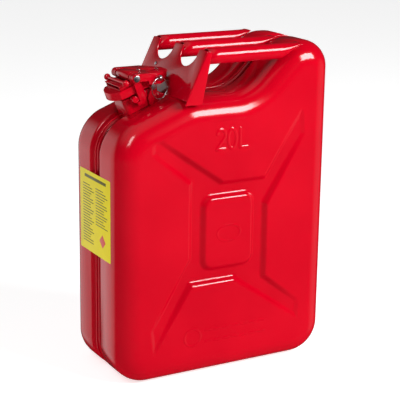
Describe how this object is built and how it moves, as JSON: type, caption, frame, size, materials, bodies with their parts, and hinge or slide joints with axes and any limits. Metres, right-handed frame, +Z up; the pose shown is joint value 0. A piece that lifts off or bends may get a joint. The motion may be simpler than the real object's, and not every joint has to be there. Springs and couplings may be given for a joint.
{
  "type": "fuel can",
  "caption": "Upright pressed-steel fuel can with tube carrying handles, a leaning spout and a cam-lever cap locked by a pin on a split ring.",
  "frame": {"origin": "middle of the base, on the surface that the can stands on", "axes": "+Z up, X along the broad faces with the spout end at -X, Y across the can's thickness"},
  "size_m": [0.3422, 0.164, 0.476],
  "materials": {
    "red_enamel": "gloss",
    "bright_steel": "satin",
    "black_rubber": "matte",
    "yellow_label": "satin"
  },
  "bodies": {
    "can": {"half_shell_left": "red_enamel", "half_shell_right": "red_enamel", "seam_weld": "red_enamel", "front_bracket": "red_enamel", "bracket_rivet": "bright_steel", "handle_tube_near": "red_enamel", "handle_tube_middle": "red_enamel", "handle_tube_far": "red_enamel", "filler_neck": "red_enamel", "mouth_ring": "red_enamel", "neck_lugs": "red_enamel", "hinge_ears": "red_enamel", "hinge_pin": "bright_steel", "breather_tube": "bright_steel", "label": "yellow_label"},
    "cap": {"cap_shell": "red_enamel", "seal_cup": "red_enamel", "gasket": "black_rubber", "gasket_retainer": "bright_steel", "retainer_rivet": "bright_steel", "cap_saddle": "red_enamel", "cross_bar": "red_enamel", "locking_lug": "red_enamel"},
    "lever": {"lever": "red_enamel", "lever_hooks": "red_enamel", "lever_rivets": "bright_steel", "lever_pivot_pin": "bright_steel"},
    "safety_pin": {"safety_pin": "bright_steel"},
    "split_ring": {"split_ring": "bright_steel"}
  },
  "joints": [
    {"name": "cap_hinge", "type": "hinge", "parent": "can", "child": "cap", "pos_m": [-0.09061, 0, 0.41904], "axis": [0, 1, 0], "range_deg": [0, 64]},
    {"name": "lever_pivot", "type": "hinge", "parent": "cap", "child": "lever", "pos_m": [-0.1228, 0, 0.43454], "axis": [0, -1, 0], "range_deg": [0, 128]},
    {"name": "pin_slide", "type": "slide", "parent": "lever", "child": "safety_pin", "axis": [0, -1, 0], "range_m": [0, 0.04]},
    {"name": "ring_swing", "type": "hinge", "parent": "safety_pin", "child": "split_ring", "pos_m": [-0.09, -0.039, 0.43454], "axis": [-0.9563, -0.2924, 0], "range_deg": [0, 75]}
  ],
  "couplings": [
    {"joint": "lever_pivot", "follows": "cap_hinge", "ratio": 2}
  ]
}
